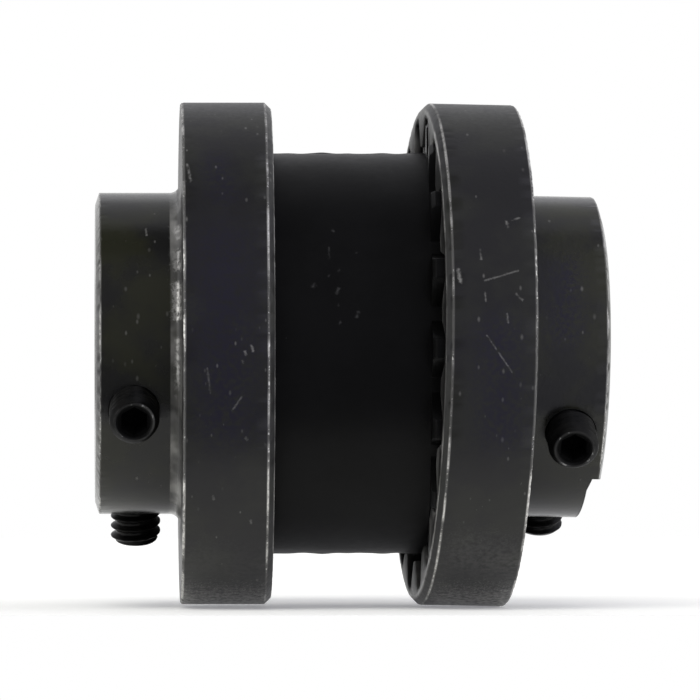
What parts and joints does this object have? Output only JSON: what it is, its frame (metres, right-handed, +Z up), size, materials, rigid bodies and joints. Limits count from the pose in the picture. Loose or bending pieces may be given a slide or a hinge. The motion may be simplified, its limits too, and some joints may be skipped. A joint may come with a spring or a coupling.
{
  "type": "flexible sleeve shaft coupling",
  "caption": "Flexible shaft coupling: two flanged iron hubs with internal teeth, a toothed rubber sleeve between them, and two set screws in each hub.",
  "frame": {"origin": "centre of the left bore's mouth, where its outer bevel ends, 0.6 mm inside the left hub's end face", "axes": "+X along the left bore into the coupling, +Z up, -Y towards the side that the first left set screw faces"},
  "size_m": [0.0635, 0.0632, 0.0627],
  "materials": {
    "hub_iron": "black oxide, semi-gloss, worn bright on the edges",
    "sleeve_rubber": "moulded, satin",
    "screw_steel": "black oxide, satin"
  },
  "bodies": {
    "left_hub": {"left_hub": "hub_iron"},
    "sleeve": {"flexible_sleeve": "sleeve_rubber"},
    "right_hub": {"right_hub": "hub_iron"},
    "left_front_screw": {"left_front_set_screw": "screw_steel"},
    "left_lower_screw": {"left_lower_set_screw": "screw_steel"},
    "right_front_screw": {"right_front_set_screw": "screw_steel"},
    "right_lower_screw": {"right_lower_set_screw": "screw_steel"}
  },
  "joints": [
    {"name": "sleeve_slide", "type": "slide", "parent": "left_hub", "child": "sleeve", "axis": [1, 0, 0], "range_m": [0, 0.01]},
    {"name": "hub_tilt", "type": "hinge", "parent": "sleeve", "child": "right_hub", "pos_m": [0.0432, 0, -0.00015], "axis": [-0.0093, 0.2373, 0.9714], "range_deg": [-9.27, 0]},
    {"name": "left_front_screw_travel", "type": "slide", "parent": "left_hub", "child": "left_front_screw", "axis": [0, -0.9379, -0.3469], "range_m": [-0.0048, 0.0032]},
    {"name": "left_lower_screw_travel", "type": "slide", "parent": "left_hub", "child": "left_lower_screw", "axis": [0, 0.3387, -0.9409], "range_m": [-0.0048, 0.0032]},
    {"name": "right_front_screw_travel", "type": "slide", "parent": "right_hub", "child": "right_front_screw", "axis": [0.0605, -0.8826, -0.4663], "range_m": [-0.0048, 0.0032]},
    {"name": "right_lower_screw_travel", "type": "slide", "parent": "right_hub", "child": "right_lower_screw", "axis": [-0.053, 0.4559, -0.8885], "range_m": [-0.0048, 0.0032]}
  ]
}
